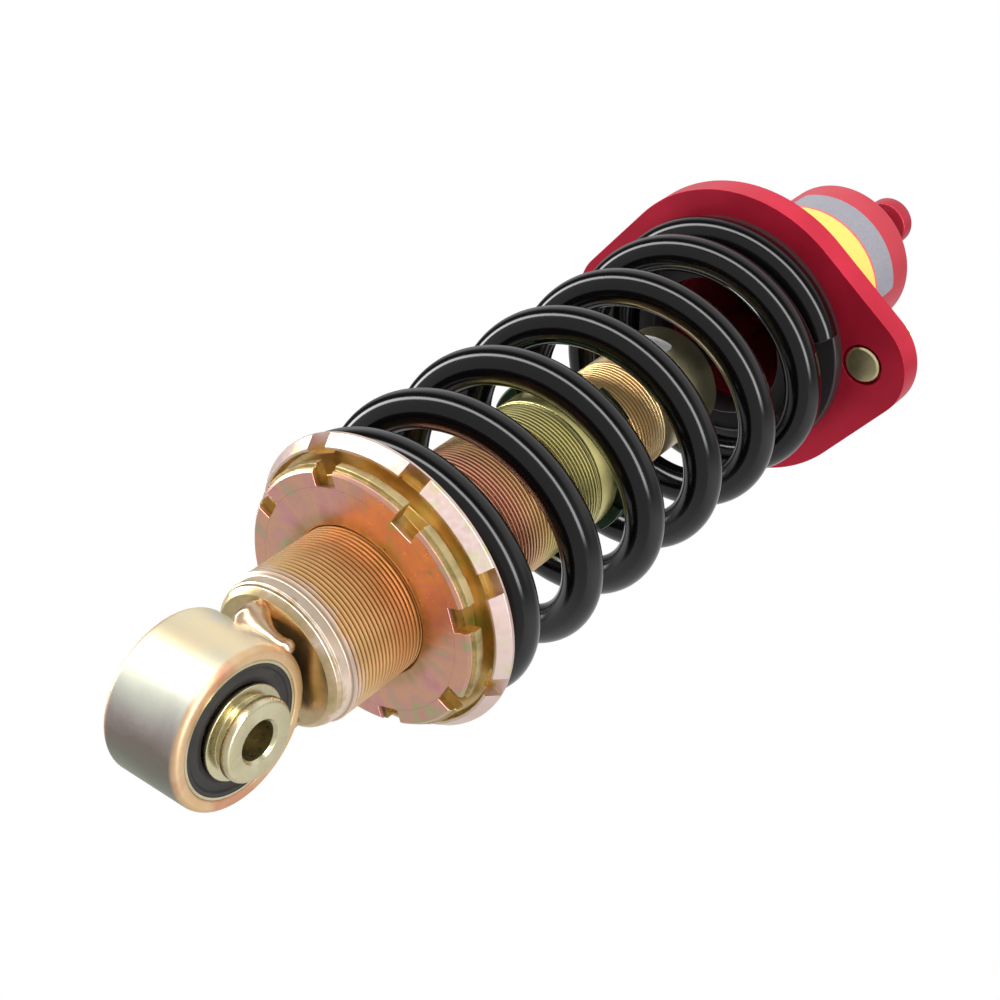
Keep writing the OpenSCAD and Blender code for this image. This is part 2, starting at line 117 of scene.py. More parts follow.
def finish_piece(name, bm, body, paint, replaces=(), place=None, sharp=32):
    """Turns a bmesh in millimetres into a painted piece that rides on a body."""
    merge_points(bm)
    bmesh.ops.recalc_face_normals(bm, faces=bm.faces)
    bmesh.ops.scale(bm, vec=(MM, MM, MM), verts=bm.verts)
    mesh = bpy.data.meshes.new(name)
    bm.to_mesh(mesh)
    bm.free()
    mesh.shade_smooth()
    if sharp:
        mesh.set_sharp_from_angle(angle=math.radians(sharp))
    mesh.materials.append(paint.material)
    obj = bpy.data.objects.new(name, mesh)
    bpy.context.scene.collection.objects.link(obj)
    if place is not None:
        obj.matrix_world = place
    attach(obj, body)
    if replaces:
        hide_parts(*replaces)
    return obj


def rounded(points, steps=4):
    """Profile points (r, z, fillet) with each corner turned into an arc of that radius."""
    out = []
    for i, (r, z, fillet) in enumerate(points):
        if not fillet:
            out.append((r, z))
            continue
        corner = Vector((r, z))
        back = Vector(points[i - 1][:2]) - corner
        ahead = Vector(points[(i + 1) % len(points)][:2]) - corner
        reach = 0.49 * min(back.length, ahead.length)
        back.normalize()
        ahead.normalize()
        half = back.angle(ahead) / 2
        cut = min(fillet / math.tan(half), reach)
        centre = corner + (back + ahead).normalized() * (cut / math.cos(half))
        start, end = corner + back * cut - centre, corner + ahead * cut - centre
        first = math.atan2(start.y, start.x)
        turn = (math.atan2(end.y, end.x) - first + math.pi) % (2 * math.pi) - math.pi
        for k in range(steps + 1):
            w = first + turn * k / steps
            out.append((centre.x + start.length * math.cos(w), centre.y + start.length * math.sin(w)))
    return out


def mirrored(side):
    """A profile from one end of a piece, carried on in mirror image to the other end."""
    return side + [(r, -z, fillet) for r, z, fillet in reversed(side)]


def add_rows(bm, rows, closed=False):
    """Joins rows of points into a skin; each row runs once round."""
    made = [[bm.verts.new(point) for point in row] for row in rows]
    n = len(made[0])
    pairs = list(zip(made, made[1:])) + ([(made[-1], made[0])] if closed else [])
    for a, b in pairs:
        for i in range(n):
            j = (i + 1) % n
            bm.faces.new((a[i], a[j], b[j], b[i]))


def circle_row(r, z, n):
    return [(r * math.cos(2 * math.pi * i / n), r * math.sin(2 * math.pi * i / n), z) for i in range(n)]


def add_profile(bm, points, n, steps=4, closed=False):
    """Turns (r, z, fillet) points round the axis."""
    add_rows(bm, [circle_row(r, z, n) for r, z in rounded(points, steps)], closed)


def lathe(points, n=160, steps=4, closed=True):
    """Solid of revolution from (r, z, fillet) points."""
    bm = bmesh.new()
    add_profile(bm, points, n, steps, closed)
    merge_points(bm)
    return bm


# One turn of thread: how far along the pitch, and how deep as a share of the groove.
THREAD = ((0.0, 0.0), (0.26, 0.08), (0.38, 0.45), (0.5, 1.0), (0.62, 0.45), (0.74, 0.08))


def add_thread(bm, z0, z1, crest, depth, n, phase, fade_in, fade_out):
    """Helical V thread on the outside of a cylinder; the groove runs out at both ends."""
    per_turn = len(THREAD)
    turns = math.ceil((z1 - z0) / PITCH) + 4
    grid = []
    for j in range(turns * per_turn + 1):
        along, deep = THREAD[j % per_turn]
        z = z0 + (j // per_turn - 2 + along + phase) * PITCH
        row = []
        for i in range(n):
            w = 2 * math.pi * i / n
            h = min(max(z + PITCH * i / n, z0), z1)
            fade = min(1, max(0, (h - z0) / fade_in)) * min(1, max(0, (z1 - h) / fade_out))
            r = crest - depth * deep * fade
            row.append(bm.verts.new((r * math.cos(w), r * math.sin(w), h)))
        grid.append(row)
    last = len(grid) - 1
    for j in range(last):
        for i in range(n - 1):
            bm.faces.new((grid[j][i], grid[j][i + 1], grid[j + 1][i + 1], grid[j + 1][i]))
        if j + 1 + per_turn <= last:
            bm.faces.new((grid[j][n - 1], grid[j + per_turn][0],
                          grid[j + 1 + per_turn][0], grid[j + 1][n - 1]))


def add_part(bm, part):
    """Adds one bmesh to another and frees it."""
    mesh = bpy.data.meshes.new("part")
    part.to_mesh(mesh)
    part.free()
    bm.from_mesh(mesh)
    bpy.data.meshes.remove(mesh)


def temporary(bm):
    """A plain object in millimetres, for modifiers to work on."""
    mesh = bpy.data.meshes.new("temporary")
    bmesh.ops.recalc_face_normals(bm, faces=bm.faces)
    bm.to_mesh(mesh)
    bm.free()
    obj = bpy.data.objects.new("temporary", mesh)
    bpy.context.scene.collection.objects.link(obj)
    return obj


def discard(obj):
    mesh = obj.data
    bpy.data.objects.remove(obj)
    bpy.data.meshes.remove(mesh)


def apply_modifier(bm, kind, **settings):
    """Runs one modifier over a bmesh and gives back the result."""
    obj = temporary(bm)
    modifier = obj.modifiers.new(kind, kind)
    for key, value in settings.items():
        setattr(modifier, key, value)
    bpy.context.view_layer.update()
    result = bmesh.new()
    result.from_object(obj, bpy.context.evaluated_depsgraph_get())
    discard(obj)
    return result


def cut_and_bevel(bm, cutter, width, segments=3, angle=40):
    """Takes the cutter away from a solid and rounds the edges sharper than an angle."""
    tool = temporary(cutter)
    cut = apply_modifier(bm, "BOOLEAN", operation="DIFFERENCE", object=tool, solver="EXACT", use_self=True)
    discard(tool)
    bmesh.ops.dissolve_limit(cut, angle_limit=math.radians(COPLANAR), verts=cut.verts, edges=cut.edges)
    return apply_modifier(cut, "BEVEL", width=width, segments=segments, limit_method="ANGLE",
                          angle_limit=math.radians(angle), use_clamp_overlap=True)


def keep_faces_flat(obj):
    """Shades faces square to the axis flat, with their rounded edges blending into them."""
    for polygon in obj.data.polygons:
        polygon.use_smooth = abs(polygon.normal.z) < FLAT_NORMAL
    weighted = obj.modifiers.new("normals", "WEIGHTED_NORMAL")
    weighted.weight = 80
    weighted.keep_sharp = True


def add_box(bm, size, matrix):
    bmesh.ops.create_cube(bm, size=1, matrix=matrix @ Matrix.Diagonal((*size, 1)))


def add_cylinder(bm, r, z0, z1, x, segments):
    bmesh.ops.create_cone(bm, cap_ends=True, segments=segments, radius1=r, radius2=r, depth=z1 - z0,
                          matrix=Matrix.Translation((x, 0, (z0 + z1) / 2)))


def notch_boxes(z0, z1, r, depth, phase, count=8, width=8.2, long=20):
    """Boxes that cut the spanner notches of a ring, evenly spaced from a phase in degrees."""
    bm = bmesh.new()
    for i in range(count):
        turn = Matrix.Rotation(math.radians(phase + 360 * i / count), 4, "Z")
        place = Matrix.Translation((r - depth + long / 2, 0, (z0 + z1) / 2))
        add_box(bm, (long, width, z1 - z0), turn @ place)
    return bm


# ---------------------------------------------------------------- node trees

class Nodes:
    """A node tree and short ways of adding nodes to it."""

    def __init__(self, tree):
        self.tree = tree

    def put(self, socket, value):
        if isinstance(value, bpy.types.NodeSocket):
            self.tree.links.new(value, socket)
        else:
            socket.default_value = (*value, 1) if socket.type == "RGBA" and len(value) == 3 else value

    def add(self, kind, inputs=(), **settings):
        node = self.tree.nodes.new("ShaderNode" + kind)
        for key, value in settings.items():
            setattr(node, key, value)
        for key, value in dict(inputs).items():
            self.put(node.inputs[key], value)
        return node

    def math(self, kind, a, b=0.0):
        return self.add("Math", {0: a, 1: b}, operation=kind).outputs[0]

    def times(self, a, b):
        return self.math("MULTIPLY", a, b)

    def plus(self, *terms):
        total = terms[0]
        for term in terms[1:]:
            total = self.math("ADD", total, term)
        return total

    def between(self, value, low, high):
        """Stretches a value so that 0 gives low and 1 gives high."""
        return self.plus(self.times(value, high - low), low)

    def join(self, x, y, z):
        return self.add("CombineXYZ", {0: x, 1: y, 2: z}).outputs[0]

    def band(self, value, low, high, top=1.0):
        """0 at low, top at high, smooth between; high may be the lower of the two."""
        ends = (0.0, top) if low < high else (top, 0.0)
        inputs = {0: value, 1: min(low, high), 2: max(low, high), 3: ends[0], 4: ends[1]}
        return self.add("MapRange", inputs, interpolation_type="SMOOTHSTEP").outputs[0]


class Paint(Nodes):
    """A material and short ways of building it; its coordinates are the piece's own, in metres."""

    def __init__(self, name, **values):
        self.material = bpy.data.materials.new(name)
        self.material.use_nodes = True
        super().__init__(self.material.node_tree)
        self.shader = self.tree.nodes["Principled BSDF"]
        self.set(**values)

    def set(self, **values):
        for key, value in values.items():
            self.put(self.shader.inputs[key.replace("_", " ")], value)

    def place(self):
        return self.add("TexCoord").outputs["Object"]

    def split_place(self):
        return self.add("SeparateXYZ", {0: self.place()}).outputs

    def round_place(self):
        """Distance from the axis, the two parts of the direction round it, and height."""
        x, y, z = self.split_place()
        r = self.math("SQRT", self.plus(self.times(x, x), self.times(y, y)))
        safe = self.math("MAXIMUM", r, 1e-5)
        return r, self.math("DIVIDE", x, safe), self.math("DIVIDE", y, safe), z

    def noise(self, vector, scale, detail=3.0, roughness=0.55, distortion=0.0):
        inputs = {"Vector": vector, "Scale": scale, "Detail": detail, "Roughness": roughness,
                  "Distortion": distortion}
        return self.add("TexNoise", inputs).outputs[0]

    def ramp(self, value, stops):
        node = self.add("ValToRGB", {0: value})
        marks = node.color_ramp.elements
        while len(marks) < len(stops):
            marks.new(0.5)
        for mark, (at, colour) in zip(marks, stops):
            mark.position, mark.color = at, (*colour, 1)
        return node.outputs[0]

    def mix(self, share, a, b):
        return self.add("Mix", {0: share, 6: a, 7: b}, data_type="RGBA").outputs[2]

    def bump(self, height, strength, distance):
        node = self.add("Bump", {"Strength": strength, "Distance": distance, "Height": height})
        self.set(Normal=node.outputs[0])

    def turning_lines(self, r, c, z, fine, around=1.0):
        """Fine lines round the axis, as a lathe leaves them."""
        spot = self.join(self.times(r, fine), self.times(z, fine), self.times(c, around))
        return self.noise(spot, 1.0, 2.0)

    def stretch_shine_round_axis(self):
        self.set(Tangent=self.add("Tangent", direction_type="RADIAL", axis="Z").outputs[0])


# ---------------------------------------------------------------- kinds of material

TURNED = 0.04 * MM  # depth of turning lines


def srgb(r, g, b):
    """Linear colour from 0 to 255 screen values."""
    return tuple((c / 255 / 12.92) if c < 11 else ((c / 255 + 0.055) / 1.055) ** 2.4 for c in (r, g, b))


def palette(*stops):
    """Colour ramp from (place, red, green, blue) stops."""
    return [(at, srgb(*colour)) for at, *colour in stops]


def shaded(colour, share):
    return tuple(min(1, v * share) for v in colour)


def zinc(name, stops, streak=1.6, across=60.0, swing=1.2, level=0.5, roughness=0.3, grain=0.06,
         along=0.0, anisotropic=0.4, painted_groove_shade=None):
    """Iridescent yellow zinc plate on turned steel: film colours drift round and along the piece.

    Painted shade for the thread grooves is given as (root radius, crest radius, shade, first height, last
    height)."""
    p = Paint(name, Metallic=1.0, Anisotropic=anisotropic)
    r, c, s, z = p.round_place()
    spot = p.join(p.times(c, streak), p.times(s, streak), p.times(p.plus(z, r), across))
    film = p.noise(spot, 1.0, 4.0, 0.6, 0.6)
    mottle = p.noise(p.place(), 420.0, 3.0, 0.6)
    value = p.plus(p.between(film, level - swing / 2, level + swing / 2), p.between(mottle, -0.025, 0.025))
    if along:
        value = p.plus(value, p.times(z, along))
    colour = p.ramp(value, stops)
    if painted_groove_shade:
        root, crest, shade, first, last = painted_groove_shade
        # Painted shade: between the first and last heights, surface below the crest radius is darkened toward
        # the shade colour, fully at the root.
        threaded = p.times(p.band(z, first * MM, (first + 1) * MM), p.band(z, last * MM, (last - 1) * MM))
        deep = p.band(r, crest * MM, root * MM)
        colour = p.mix(p.times(threaded, deep), colour, shade)
    p.set(Base_Color=colour, Roughness=p.between(mottle, roughness - 0.06, roughness + 0.06))
    p.stretch_shine_round_axis()
    p.bump(p.turning_lines(r, c, z, 5000.0, 1.5), grain, TURNED)
    return p


def ring_zinc(name, stops, zones, roughness=0.3):
    """Zinc plate on a turned ring; each zone (axis, from, to, palette) is laid over those before it."""
    p = Paint(name, Metallic=1.0, Anisotropic=0.5)
    r, c, s, z = p.round_place()
    spot = p.join(p.times(c, 2.6), p.times(s, 2.6), p.times(p.plus(r, z), 26.0))
    streaks = p.noise(spot, 1.0, 3.0, 0.55, 0.5)
    cloud = p.noise(p.place(), 75.0, 4.0, 0.6, 0.8)
    mottle = p.noise(p.place(), 520.0, 3.0, 0.6)
    film = p.plus(p.times(streaks, 0.6), p.times(cloud, 0.4), p.between(mottle, -0.03, 0.03))
    colour = p.ramp(film, stops)
    for axis, low, high, over in zones:
        share = p.band({"r": r, "z": z}[axis], low * MM, high * MM)
        colour = p.mix(share, colour, p.ramp(film, over))
    p.set(Base_Color=colour, Roughness=p.between(mottle, roughness - 0.08, roughness + 0.08))
    p.stretch_shine_round_axis()
    p.bump(p.turning_lines(r, c, z, 4500.0), 0.1, TURNED)
    return p


def plain_metal(name, colour, roughness, spread=0.12):
    """Machined metal with fine turning lines and faint stains."""
    p = Paint(name, Metallic=1.0, Anisotropic=0.4)
    r, c, _, z = p.round_place()
    stain = p.noise(p.place(), 90.0, 4.0)
    lines = p.turning_lines(r, c, z, 7000.0)
    p.set(Base_Color=p.ramp(stain, [(0.3, shaded(colour, 1 - spread)), (0.7, shaded(colour, 1 + spread))]),
          Roughness=p.between(lines, roughness - 0.07, roughness + 0.08))
    p.bump(lines, 0.25, TURNED)
    return p


def rubber_paint(name, colour, roughness=0.6, grain=2600.0):
    """Moulded rubber or foam with a fine tooth and a dusty bloom."""
    p = Paint(name, Specular_IOR_Level=0.4)
    bloom = p.noise(p.place(), 140.0, 4.0)
    p.set(Base_Color=p.ramp(bloom, [(0.35, colour), (0.75, shaded(colour, 1.7))]),
          Roughness=p.between(bloom, roughness - 0.1, roughness + 0.1))
    p.bump(p.noise(p.place(), grain, 3.0), 0.35, 0.12 * MM)
    return p


def coat(name, colour, roughness, peel, strength, shine=0.5):
    """Paint or powder coat with orange peel."""
    p = Paint(name, Specular_IOR_Level=shine)
    fine = p.noise(p.place(), peel * 6, 2.0)
    p.set(Base_Color=p.ramp(fine, [(0.3, shaded(colour, 0.85)), (0.7, colour)]),
          Roughness=p.between(fine, roughness - 0.04, roughness + 0.04))
    p.bump(p.noise(p.place(), peel, 2.0, 0.5), strength, 0.2 * MM)
    return p


def anodised(name, dark, light, roughness=0.42):
    """Satin coloured anodising: fine blasted grain under a transparent film."""
    p = Paint(name, Metallic=0.6)
    tooth = p.noise(p.place(), 5200.0, 3.0, 0.7)
    p.set(Base_Color=p.ramp(p.noise(p.place(), 28.0, 3.0), [(0.3, dark), (0.7, light)]),
          Roughness=p.between(tooth, roughness - 0.07, roughness + 0.07))
    p.bump(tooth, 0.15, TURNED)
    return p


def sticker_film(p, colour, speck):
    """Finishes a printed sticker: a satin film with faint waves."""
    p.set(Base_Color=colour, Roughness=p.between(speck, 0.3, 0.5))
    p.bump(p.noise(p.place(), 300.0), 0.1, 0.1 * MM)
    return p


# ---------------------------------------------------------------- the materials

def make_eye_zinc():
    """Zinc plate on the eye, with painted light: colours change across it by height, a painted cream
    highlight on the upper side and a painted dark reflection round the middle, lighter again below; its two
    rims are warmer.
    """
    p = Paint("eye_zinc", Metallic=1.0)
    _, y, z = p.split_place()
    cloud = p.noise(p.place(), 55.0, 4.0, 0.55, 0.5)
    speck = p.noise(p.place(), 1500.0, 3.0, 0.7)
    # Painted highlight and reflection: the y term sets the colour by height round the eye, while the cloud
    # and speck add random film colour.
    film = p.plus(p.times(y, 17.0), p.between(cloud, 0.38, 0.62), p.between(speck, -0.025, 0.025))
    # The light first stops are the painted upper highlight, and the dark middle stops are the painted
    # reflection of dark surroundings.
    face = p.ramp(film, palette(
        (0.06, 236, 220, 184), (0.16, 214, 216, 200), (0.25, 196, 194, 184), (0.34, 168, 156, 152),
        (0.44, 138, 128, 118), (0.54, 134, 130, 118), (0.62, 138, 142, 126), (0.74, 160, 158, 140),
        (0.88, 206, 180, 158)))
    warm = p.ramp(cloud, palette((0.3, 220, 184, 130), (0.5, 228, 196, 156), (0.65, 214, 160, 128)))
    rim = p.band(p.math("ABSOLUTE", z), (EYE_HALF - 2.4) * MM, (EYE_HALF - 0.8) * MM)
    p.set(Base_Color=p.mix(rim, face, warm), Roughness=p.between(speck, 0.38, 0.54))
    p.bump(speck, 0.08, 0.06 * MM)
    return p


def make_lock_zinc():
    """Zinc plate on the lock ring: lower face, notch floors, step and rim differ."""
    face = palette((0.32, 214, 150, 146), (0.42, 222, 164, 156), (0.48, 224, 174, 140), (0.54, 220, 164, 152),
                   (0.6, 186, 184, 136), (0.63, 218, 160, 150), (0.7, 212, 156, 130))
    dim_face = [(at, shaded(colour, 0.9)) for at, colour in face]
    bore = palette((0.35, 180, 142, 104), (0.5, 200, 160, 124), (0.62, 176, 150, 104))
    step = palette((0.35, 120, 100, 56), (0.5, 200, 176, 118), (0.62, 150, 134, 84))
    rim = palette((0.35, 176, 152, 96), (0.5, 214, 190, 140), (0.65, 150, 138, 88))
    floor = LOCK_R - LOCK_NOTCH
    return ring_zinc("lock_zinc", bore, [
        ("r", 26.5, 31.5, face),
        ("r", floor - 0.35, floor - 0.15, dim_face),
        ("r", floor + 0.05, floor + 0.25, face),
        ("z", LOCK_LOW + 0.8, LOCK_LOW + 1.7, step),
        ("z", LOCK_LOW + 2.2, LOCK_LOW + 2.7, rim),
    ])


def make_perch_zinc():
    """Zinc plate on the perch: hub, step, outer band and spigot differ."""
    hub = palette((0.35, 214, 170, 98), (0.5, 238, 204, 140), (0.62, 206, 196, 120))
    step = palette((0.35, 200, 180, 124), (0.5, 226, 202, 156), (0.62, 206, 170, 134))
    outer = palette((0.35, 206, 190, 134), (0.45, 226, 200, 190), (0.55, 228, 204, 198),
                    (0.62, 206, 206, 150), (0.7, 238, 210, 200))
    spigot = palette((0.35, 176, 150, 100), (0.6, 206, 176, 128))
    return ring_zinc("perch_zinc", hub, [
        ("r", PERCH_R - 6.0, PERCH_R - 5.4, step),
        ("r", PERCH_R - 3.8, PERCH_R - 3.0, outer),
        ("z", PERCH_SEAT + 0.4, PERCH_SEAT + 1.2, spigot),
    ], 0.34)


eye_zinc = make_eye_zinc()
sleeve_zinc = zinc(
    "sleeve_zinc",
    palette((0.0, 170, 164, 112), (0.045, 190, 172, 122), (0.07, 214, 186, 150), (0.09, 244, 224, 204),
            (0.125, 240, 212, 186), (0.15, 238, 196, 138), (0.38, 236, 184, 124), (0.45, 238, 176, 142),
            (0.76, 236, 170, 140), (0.86, 230, 190, 134), (0.95, 214, 208, 130), (1.0, 220, 210, 140)),
    streak=0.7, across=14.0, swing=0.12, level=-0.17, along=8.4,
    # Painted shade in the thread grooves: dark brown.
    painted_groove_shade=(SLEEVE_R - 0.7, SLEEVE_R - 0.2, srgb(80, 50, 28), SLEEVE_THREAD[0] - 1, SLEEVE_HIGH + 8.2))
tube_zinc = zinc(
    "tube_zinc",
    palette((0.1, 146, 130, 78), (0.4, 212, 176, 122), (0.62, 236, 196, 134), (0.8, 212, 176, 122),
            (0.95, 226, 218, 176)),
    streak=0.8, across=12.0, swing=0.3, level=-0.5, along=6.8,
    # Painted shade in the thread grooves: dark brown.
    painted_groove_shade=(TUBE_R - 0.7, TUBE_R - 0.25, srgb(120, 92, 54), TUBE_THREAD[0] + 10, TUBE_THREAD[1] + 0.6))
lock_zinc = make_lock_zinc()
perch_zinc = make_perch_zinc()
body_ring_zinc = zinc("body_ring_zinc", palette((0.2, 44, 62, 50), (0.6, 56, 76, 58), (0.9, 90, 90, 60)))
weld_zinc = zinc(
    "weld_zinc",
    palette((0.1, 150, 166, 156), (0.35, 200, 186, 146), (0.6, 208, 168, 146), (0.8, 190, 168, 124),
            (1.0, 212, 176, 122)),
    streak=3.0, across=200.0, swing=1.0, grain=0.0, anisotropic=0.0)
bush_zinc = zinc(
    "bush_zinc",
    palette((0.1, 146, 130, 78), (0.4, 196, 186, 146), (0.7, 220, 212, 180), (1.0, 240, 212, 200)),
    streak=1.2, swing=0.6, level=0.55, roughness=0.28)
stud_zinc = zinc(
    "stud_zinc", palette((0.2, 180, 168, 124), (0.6, 216, 204, 160), (0.9, 236, 212, 168)),
    streak=3.0, across=90.0, roughness=0.34)
spring_black = coat("spring_black", (0.003, 0.0025, 0.0025), 0.12, 210.0, 0.09, 0.36)
seat_black = coat("seat_black", (0.02, 0.016, 0.017), 0.38, 900.0, 0.15)
flange_red = anodised("flange_red", srgb(176, 22, 48), srgb(204, 34, 62))
tower_red = anodised("tower_red", srgb(186, 52, 66), srgb(204, 66, 80), 0.48)
knob_red = anodised("knob_red", srgb(160, 34, 52), srgb(184, 48, 66), 0.44)
black_rubber = rubber_paint("black_rubber", (0.020, 0.018, 0.017))
seal_rubber = rubber_paint("seal_rubber", (0.015, 0.015, 0.015), 0.45)
foam = rubber_paint("foam", (0.05, 0.047, 0.043), 0.85, 1500.0)
chrome = plain_metal("chrome", (0.72, 0.73, 0.74), 0.12, 0.04)
steel = plain_metal("steel", (0.50, 0.50, 0.52), 0.34)
aluminium = plain_metal("aluminium", (0.68, 0.69, 0.71), 0.36)
bronze = plain_metal("bronze", (0.48, 0.33, 0.18), 0.4)

# ---------------------------------------------------------------- CAD nodes that stay

STAYING = {
    "bush_shell": bush_zinc, "lower_bushing": black_rubber, "upper_bushing": black_rubber,
    "floating_piston_ring": seal_rubber, "guide_oring": seal_rubber, "rod_seal": seal_rubber,
    "wiper_seal": seal_rubber, "piston_rod": chrome, "tube_base_cap": steel, "stop_washer": steel,
    "compression_shims": steel, "rebound_shims": steel, "piston_nut": steel, "lower_washer": steel,
    "upper_washer": steel, "rod_nut": steel, "adjuster_rod": steel, "knob_grub_screw": steel,
    "gland_nut": steel, "floating_piston": aluminium, "piston": aluminium, "rod_guide": aluminium,
    "guide_bush": bronze, "piston_band": bronze, "bump_stop": foam,
}
for node, paint in STAYING.items():
    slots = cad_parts[node].data.materials
    slots.clear()
    slots.append(paint.material)


# ---------------------------------------------------------------- lower eye and bush

def eye_ring():
    side = [(RUBBER_R + 0.8, -EYE_HALF, 0.7), (EYE_R, -EYE_HALF, 2.6)]
    finish_piece("eye_ring", lathe(mirrored(side), 192, 8), "lower_bracket", eye_zinc,
                 ["lower_eye"], EYE_TURN)


def eye_rubber():
    """Rubber with a bead at its outer edge and a dished face."""
    end = 0.3 - EYE_HALF
    side = [(13.15, end + 2.2, 0), (14.2, end + 1.0, 0.6), (16.0, end + 0.5, 1.0), (18.4, end + 0.9, 0.5),
            (19.0, end + 0.2, 0.3), (RUBBER_R, end + 0.2, 0.3)]
    finish_piece("eye_rubber", lathe(mirrored(side), 160, 5), "lower_bracket", black_rubber,
                 ["bush_rubber"], EYE_TURN)


def eye_bolt_sleeve():
    """Inner sleeve with a collar, a neck and a lip over the rubber at each end."""
    neck, lip = BUSH_R - 1.3, BUSH_R + 1.8
    side = [(BOLT_R, BUSH_HALF - 0.9, 0.15), (BOLT_R + 0.9, BUSH_HALF, 0.15), (BUSH_R, BUSH_HALF, 1.3),
            (BUSH_R, EYE_HALF + 4, 0.6), (neck, EYE_HALF + 3.2, 0.6), (neck, EYE_HALF + 1.4, 0.4),
            (lip, EYE_HALF + 1.1, 0.3), (lip, EYE_HALF + 0.1, 0.3), (BUSH_R, EYE_HALF, 0.1)]
    finish_piece("eye_bolt_sleeve", lathe(mirrored(side), 160, 5), "eye_bush", bush_zinc,
                 ["bush_sleeve"], EYE_TURN)


# ---------------------------------------------------------------- threaded sleeve and damper tube

def threaded_sleeve():
    """Sleeve with a closed lower end, a plain band, the coarse thread and a plain lip."""
    low, high, r, n = SLEEVE_LOW, SLEEVE_HIGH, SLEEVE_R, 160
    first, last = SLEEVE_THREAD
    bm = bmesh.new()
    add_profile(bm, [(0, low, 0), (21.4, low, 0.5), (23.3, low + 1.9, 0.8), (r - 1.6, low + 3.1, 0.15),
                     (r - 1.2, low + 3.5, 0.2), (r - 1.1, first - 0.9, 0.3), (r, first, 0)], n)
    add_thread(bm, first, last, r, depth=0.85, n=n, phase=0.35, fade_in=0.5, fade_out=3.0)
    add_profile(bm, [(r, last, 0), (r, high, 0.8), (ON_TUBE, high, 0.8), (ON_TUBE, first, 0.5),
                     (0, first, 0)], n)
    finish_piece("threaded_sleeve", bm, "lower_bracket", sleeve_zinc, ["lower_sleeve"],
                 sharp=50)


def monotube():
    """Damper tube with a fine thread below and a plain wall above."""
    low, high, r, bore, n = TUBE_LOW, TUBE_HIGH, TUBE_R, 17, 128
    first, last = TUBE_THREAD
    bm = bmesh.new()
    add_profile(bm, [(bore, low, 0), (r - 1.2, low, 0.3), (r - 0.8, low + 13, 0.3), (r, first, 0)], n, 3)
    add_thread(bm, first, last, r, depth=0.75, n=n, phase=0.0, fade_in=0.8, fade_out=2.5)
    add_profile(bm, [(r, last, 0), (r, high, 0.7), (bore, high, 0.5), (bore, low, 0)], n, 3)
    finish_piece("monotube", bm, "damper_body", tube_zinc, ["damper_tube"], sharp=50)


# ---------------------------------------------------------------- rings

def lock_ring():
    """Notched ring with a stepped lower edge."""
    low, high, r = LOCK_LOW, LOCK_HIGH, LOCK_R
    bm = lathe([(ON_SLEEVE, low, 0.8), (r - 1.9, low, 0.25), (r - 1.0, low + 0.9, 0.2),
                (r - 1.0, low + 1.9, 0.15), (r, low + 2.4, 0.25), (r, high, 0.4),
                (ON_SLEEVE, high, 0.8)], 192, 3)
    bm = cut_and_bevel(bm, notch_boxes(low - 1, high + 1, r, LOCK_NOTCH, -10), 0.22, 2)
    ring = finish_piece("lock_ring", bm, "lock_ring", lock_zinc, ["perch_lock_ring"], sharp=18)
    keep_faces_flat(ring)


def perch():
    """Notched perch: a hub below, a lipped skirt round it, and a seat and a spigot for the spring."""
    low, high, r, seat = PERCH_LOW, PERCH_HIGH, PERCH_R, PERCH_SEAT
    hub, ceiling, skirt = 37.0, 72.9, 70.2
    bm = lathe([(ON_SLEEVE, low, 0.8), (hub, low, 0.8), (hub, ceiling, 0.6), (r - 4.5, ceiling, 0.4),
                (r - 3.8, skirt, 0.3), (r - 2.8, skirt, 0.2), (r, seat - 1.3, 0.4), (r, seat, 0.4),
                (35.1, seat, 0.2), (34.9, high, 1.2), (ON_SLEEVE, high, 0.8)], 192, 3)
    bm = cut_and_bevel(bm, notch_boxes(skirt - 2, seat - 0.9, r, 6, -20), 0.25, 2)
    ring = finish_piece("perch", bm, "perch", perch_zinc, ["spring_perch"], sharp=18)
    keep_faces_flat(ring)


def tube_lock_ring():
    low, high = low_high("body_lock_ring")
    r = 28.2
    bm = lathe([(ON_TUBE, low, 0.6), (r, low, 0.8), (r, high, 0.8), (ON_TUBE, high, 0.6)], 160, 3)
    bm = cut_and_bevel(bm, notch_boxes(low - 1, high + 1, r, 4.5, -72), 0.22, 2)
    ring = finish_piece("tube_lock_ring", bm, "body_ring", body_ring_zinc, ["body_lock_ring"])
    keep_faces_flat(ring)


# ---------------------------------------------------------------- coil spring

# Turns count from the phase, which is in degrees; the ends of the coil and its bends are in turns.
PHASE = -100.4
FIRST, LAST = -0.3, 6.235
LOWER_BEND, UPPER_BEND, BEND = 0.2, 5.24, 0.5
END_PITCH = 2 * WIRE_R + 0.2
BEND_Z, LAST_Z = COIL_LOW + WIRE_R + 0.35, COIL_HIGH - 1.35
OPEN_PITCH = END_PITCH + (LAST_Z - BEND_Z - END_PITCH * (LAST - LOWER_BEND)) / (UPPER_BEND - LOWER_BEND)


def eased(x):
    """Area under a ramp that climbs from 0 at x = 0 to 1 at x = 1 and stays there."""
    return 0 if x <= 0 else x - 0.5 if x >= 1 else x * x / 2


def wire_height(n):
    """Height of the wire's centre after n turns: closed end coils, open coils between them."""
    risen = eased((n - LOWER_BEND + BEND) / (2 * BEND)) - eased((n - UPPER_BEND + BEND) / (2 * BEND))
    return BEND_Z + END_PITCH * (n - LOWER_BEND) + (OPEN_PITCH - END_PITCH) * 2 * BEND * risen


